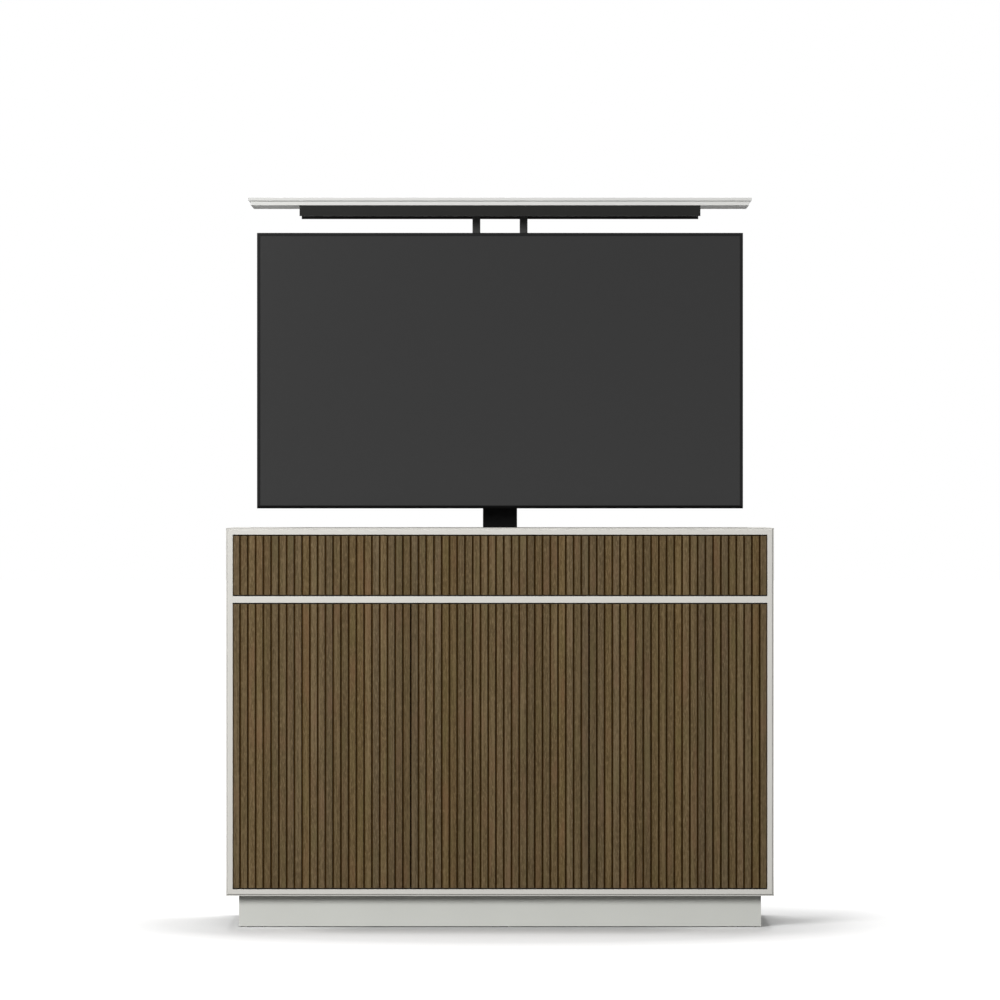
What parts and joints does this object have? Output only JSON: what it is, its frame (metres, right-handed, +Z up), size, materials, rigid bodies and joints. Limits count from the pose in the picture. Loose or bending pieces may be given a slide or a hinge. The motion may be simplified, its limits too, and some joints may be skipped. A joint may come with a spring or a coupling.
{
  "type": "tv lift cabinet",
  "caption": "Low media cabinet with a slatted flap and doors on a recessed plinth, whose telescopic column lifts a flat television and the lid above it.",
  "frame": {"origin": "on the floor at the centre of the casing footprint", "axes": "+X to the right along the front, +Y from the front to the back, +Z up"},
  "size_m": [1.37, 0.45, 1.839],
  "materials": {
    "casing_lacquer": "satin lacquer on MDF, light warm grey",
    "interior_board": "matt lacquer on MDF",
    "slat_wood": "oiled brown wood, upright grain",
    "slat_backing": "dark stained board",
    "lid_lacquer": "satin lacquer on MDF, light grey",
    "column_steel": "black powder coat",
    "channel_black": "black anodised",
    "bright_steel": "zinc plated",
    "black_nylon": "moulded",
    "white_nylon": "moulded",
    "tv_plastic": "fine matt grain",
    "tv_screen": "anti-glare film",
    "display_metal": "light guide and frame",
    "motor_metal": "semi gloss black",
    "cast_housing": "die cast",
    "glide_rubber": "matt"
  },
  "bodies": {
    "cabinet": {"top_board": "casing_lacquer", "left_side": "casing_lacquer", "right_side": "casing_lacquer", "bottom_board": "casing_lacquer", "middle_shelf": "casing_lacquer", "bay_partition": "interior_board", "compartment_dividers": "interior_board", "adjustable_shelves": "interior_board", "shelf_pins": "bright_steel", "plinth_boards": "casing_lacquer", "floor_glides": "glide_rubber", "back_panel": "interior_board", "cable_grommet": "black_nylon", "power_inlet": "black_nylon", "cabinet_screws": "bright_steel", "control_box": "tv_plastic", "pivot_bushes": "white_nylon", "latch_bodies": "white_nylon", "base_plate": "column_steel", "outer_tube": "column_steel", "outer_collar": "black_nylon", "gearbox": "cast_housing", "motor": "motor_metal"},
    "drive_spindle_body": {"drive_spindle": "bright_steel"},
    "middle_stage": {"middle_tube": "column_steel", "middle_foot": "black_nylon", "middle_glide_ring": "black_nylon", "middle_collar": "black_nylon"},
    "hollow_spindle_body": {"hollow_spindle": "bright_steel"},
    "carriage": {"inner_tube": "column_steel", "lift_nut": "black_nylon", "inner_glide_ring": "black_nylon", "head_bracket": "column_steel", "mount_plate": "column_steel", "vesa_arms": "column_steel", "carriage_screws": "bright_steel", "tv_frame": "tv_plastic", "tv_screen": "tv_screen", "tv_display_module": "display_metal", "tv_back_cover": "tv_plastic", "lid_posts": "column_steel", "lid_channel": "channel_black", "lid_plug": "lid_lacquer", "lid_panel": "lid_lacquer"},
    "left_door": {"left_door_backing": "slat_backing", "left_door_slats": "slat_wood", "left_door_pins": "bright_steel"},
    "centre_door": {"centre_door_backing": "slat_backing", "centre_door_slats": "slat_wood", "centre_door_pins": "bright_steel"},
    "right_door": {"right_door_backing": "slat_backing", "right_door_slats": "slat_wood", "right_door_pins": "bright_steel"},
    "flap": {"flap_backing": "slat_backing", "flap_slats": "slat_wood", "flap_pins": "bright_steel"},
    "left_door_plunger": {"left_door_latch_plunger": "white_nylon"},
    "centre_door_plunger": {"centre_door_latch_plunger": "white_nylon"},
    "right_door_plunger": {"right_door_latch_plunger": "white_nylon"},
    "flap_plunger": {"flap_latch_plunger": "white_nylon"}
  },
  "joints": [
    {"name": "lower_stage_lift", "type": "slide", "parent": "cabinet", "child": "middle_stage", "axis": [0, 0, 1], "range_m": [-0.4155, 0]},
    {"name": "upper_stage_lift", "type": "slide", "parent": "middle_stage", "child": "carriage", "axis": [0, 0, 1], "range_m": [-0.4155, 0]},
    {"name": "drive_spindle_turn", "type": "hinge", "parent": "cabinet", "child": "drive_spindle_body", "pos_m": [0, 0.146, 0.1425], "axis": [0, 0, 1], "range_deg": [-14958.5, 0]},
    {"name": "hollow_spindle_turn", "type": "hinge", "parent": "middle_stage", "child": "hollow_spindle_body", "pos_m": [0, 0.146, 0.586], "axis": [0, 0, 1], "range_deg": [-7479.5, 0]},
    {"name": "left_door_hinge", "type": "hinge", "parent": "cabinet", "child": "left_door", "pos_m": [-0.6325, -0.214, 0.0995], "axis": [0, 0, -1], "range_deg": [0, 95]},
    {"name": "centre_door_hinge", "type": "hinge", "parent": "cabinet", "child": "centre_door", "pos_m": [-0.18795, -0.214, 0.0995], "axis": [0, 0, -1], "range_deg": [0, 95]},
    {"name": "right_door_hinge", "type": "hinge", "parent": "cabinet", "child": "right_door", "pos_m": [0.6325, -0.214, 0.0995], "axis": [0, 0, 1], "range_deg": [0, 95]},
    {"name": "flap_hinge", "type": "hinge", "parent": "cabinet", "child": "flap", "pos_m": [0, -0.214, 0.8665], "axis": [1, 0, 0], "range_deg": [0, 90]},
    {"name": "left_door_latch_press", "type": "slide", "parent": "cabinet", "child": "left_door_plunger", "axis": [0, 1, 0], "range_m": [0, 0.004], "stiffness_N_per_m": 800},
    {"name": "centre_door_latch_press", "type": "slide", "parent": "cabinet", "child": "centre_door_plunger", "axis": [0, 1, 0], "range_m": [0, 0.004], "stiffness_N_per_m": 800},
    {"name": "right_door_latch_press", "type": "slide", "parent": "cabinet", "child": "right_door_plunger", "axis": [0, 1, 0], "range_m": [0, 0.004], "stiffness_N_per_m": 800},
    {"name": "flap_latch_press", "type": "slide", "parent": "cabinet", "child": "flap_plunger", "axis": [0, 1, 0], "range_m": [0, 0.004], "stiffness_N_per_m": 800}
  ],
  "couplings": [
    {"joint": "upper_stage_lift", "follows": "lower_stage_lift", "ratio": 1},
    {"joint": "drive_spindle_turn", "follows": "lower_stage_lift", "rad_per_m": 628.32},
    {"joint": "hollow_spindle_turn", "follows": "lower_stage_lift", "rad_per_m": 314.16}
  ]
}
